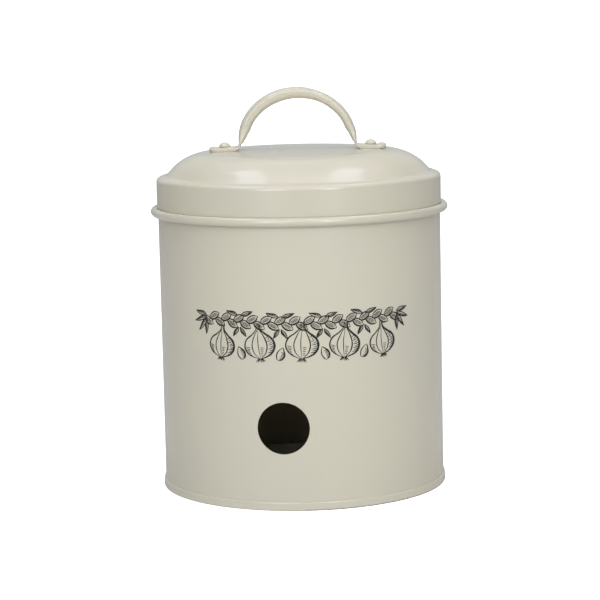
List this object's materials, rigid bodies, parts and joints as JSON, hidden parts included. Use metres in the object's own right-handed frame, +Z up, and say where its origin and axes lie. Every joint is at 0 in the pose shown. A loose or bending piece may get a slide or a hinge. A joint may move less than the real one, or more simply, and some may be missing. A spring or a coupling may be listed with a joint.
{
  "type": "garlic keeper",
  "caption": "Round painted-steel garlic keeper: ventilated can with a rolled rim, domed plug lid and riveted arch handle.",
  "frame": {"origin": "middle of the ring that the can stands on, in the plane of the table", "axes": "+Z up through the lid, X along the handle's arch, -Y the front, where the printed frieze and one vent are"},
  "size_m": [0.1262, 0.1262, 0.1693],
  "materials": {
    "cream_paint": "smooth satin-gloss cream stoved paint over thin steel, inside and out"
  },
  "bodies": {
    "can": {"can_body": "cream_paint", "base_pan": "cream_paint"},
    "lid": {"lid_shell": "cream_paint", "lid_handle": "cream_paint", "rivet_left": "cream_paint", "rivet_right": "cream_paint"}
  },
  "joints": [
    {"name": "lid_lift", "type": "slide", "parent": "can", "child": "lid", "axis": [0, 0, 1], "range_m": [0, 0.08]}
  ]
}
